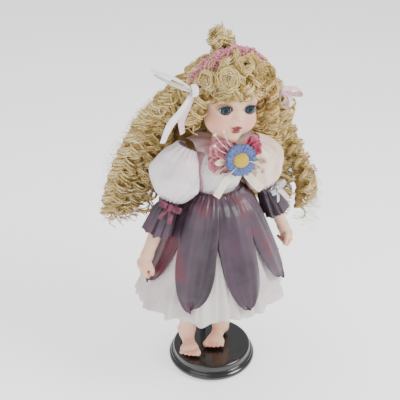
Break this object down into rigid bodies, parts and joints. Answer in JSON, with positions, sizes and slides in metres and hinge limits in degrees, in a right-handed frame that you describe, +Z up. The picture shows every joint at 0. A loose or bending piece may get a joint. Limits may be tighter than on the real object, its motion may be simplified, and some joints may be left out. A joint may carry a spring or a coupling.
{
  "type": "porcelain doll on a stand",
  "caption": "Dressed porcelain doll with ringlet wig, flower corsage and petal skirt over tulle, held at the waist by a clip on a telescopic stand.",
  "frame": {"origin": "centre of the stand's underside, on the surface it stands on", "axes": "+Z up, -Y the way the doll faces, +X towards the doll's left hand"},
  "size_m": [0.2816, 0.1828, 0.433],
  "materials": {
    "lacquered_wood": "gloss black lacquer",
    "felt": "napped felt",
    "plated_steel": "bright plating",
    "black_enamel": "satin black",
    "muslin": "plain woven cotton over stuffing",
    "bisque": "unglazed, tinted and china painted",
    "card": "matt",
    "eye_glass": "polished",
    "lash_hair": "fine hair",
    "wig_hair": "curled mohair",
    "rose_fabric": "soft satin",
    "white_ribbon": "satin ribbon",
    "velvet": "crushed velvet",
    "organza": "sheer",
    "blue_fabric": "stiffened",
    "yellow_floss": "flocked",
    "cream_ribbon": "satin ribbon",
    "pearl": "pearl",
    "plum_taffeta": "shot taffeta",
    "tulle": "fine net",
    "puff_satin": "satin",
    "burgundy_ribbon": "satin ribbon",
    "silver_ribbon": "metallic ribbon",
    "thread": "waxed thread"
  },
  "bodies": {
    "stand": {"stand_base": "lacquered_wood", "base_felt": "felt", "lower_tube": "plated_steel"},
    "riser": {"upper_rod": "plated_steel", "rod_stops": "black_enamel"},
    "doll": {"clip_holder": "black_enamel", "waist_clip": "plated_steel", "torso": "muslin", "porcelain_head": "bisque", "head_pate": "card", "eye_right": "eye_glass", "eye_left": "eye_glass", "eyelashes": "lash_hair", "wig_cap": "wig_hair", "wig_crown": "wig_hair", "wig_fringe": "wig_hair", "wig_back": "wig_hair", "wig_right": "wig_hair", "wig_left": "wig_hair", "wreath_band": "rose_fabric", "wreath_roses": "rose_fabric", "wreath_ribbons": "white_ribbon", "wreath_bow": "white_ribbon", "bodice": "velvet", "collar": "organza", "corsage_daisy": "blue_fabric", "corsage_daisy_centre": "yellow_floss", "corsage_roses": "rose_fabric", "corsage_bow": "cream_ribbon", "corsage_stamens": "pearl", "skirt_waistband": "plum_taffeta", "skirt_lining": "tulle", "tulle_skirt": "tulle", "skirt_petal_1": "plum_taffeta", "skirt_petal_2": "plum_taffeta", "skirt_petal_3": "plum_taffeta", "skirt_petal_4": "plum_taffeta", "skirt_petal_5": "plum_taffeta", "skirt_petal_6": "plum_taffeta", "skirt_petal_7": "plum_taffeta", "skirt_petal_8": "plum_taffeta"},
    "right_arm": {"right_upper_arm": "muslin", "right_forearm": "bisque", "right_arm_tie": "thread", "right_sleeve_puff": "puff_satin", "right_sleeve_cuff": "plum_taffeta", "right_sleeve_bow": "burgundy_ribbon"},
    "left_arm": {"left_upper_arm": "muslin", "left_forearm": "bisque", "left_arm_tie": "thread", "left_sleeve_puff": "puff_satin", "left_sleeve_cuff": "plum_taffeta", "left_sleeve_bow": "silver_ribbon"},
    "right_leg": {"right_thigh": "muslin", "right_lower_leg": "bisque", "right_leg_tie": "thread"},
    "left_leg": {"left_thigh": "muslin", "left_lower_leg": "bisque", "left_leg_tie": "thread"}
  },
  "joints": [
    {"name": "stand_height", "type": "slide", "parent": "stand", "child": "riser", "axis": [0, 0, 1], "range_m": [0, 0.05]},
    {"name": "stand_turn", "type": "hinge", "parent": "riser", "child": "doll", "pos_m": [0, 0.026, 0.221], "axis": [0, 0, 1], "continuous": true},
    {"name": "right_shoulder", "type": "hinge", "parent": "doll", "child": "right_arm", "pos_m": [-0.0352, -0.00808, 0.28834], "axis": [-0.9976, 0, 0.0698], "range_deg": [-4, 70]},
    {"name": "left_shoulder", "type": "hinge", "parent": "doll", "child": "left_arm", "pos_m": [0.04061, -0.00808, 0.28304], "axis": [-0.9976, 0, 0.0698], "range_deg": [-4, 70]},
    {"name": "right_hip", "type": "hinge", "parent": "doll", "child": "right_leg", "pos_m": [-0.019, -0.001, 0.2], "axis": [-1, 0, 0], "range_deg": [-2, 30]},
    {"name": "left_hip", "type": "hinge", "parent": "doll", "child": "left_leg", "pos_m": [0.011, -0.001, 0.2], "axis": [-1, 0, 0], "range_deg": [-2, 30]}
  ]
}
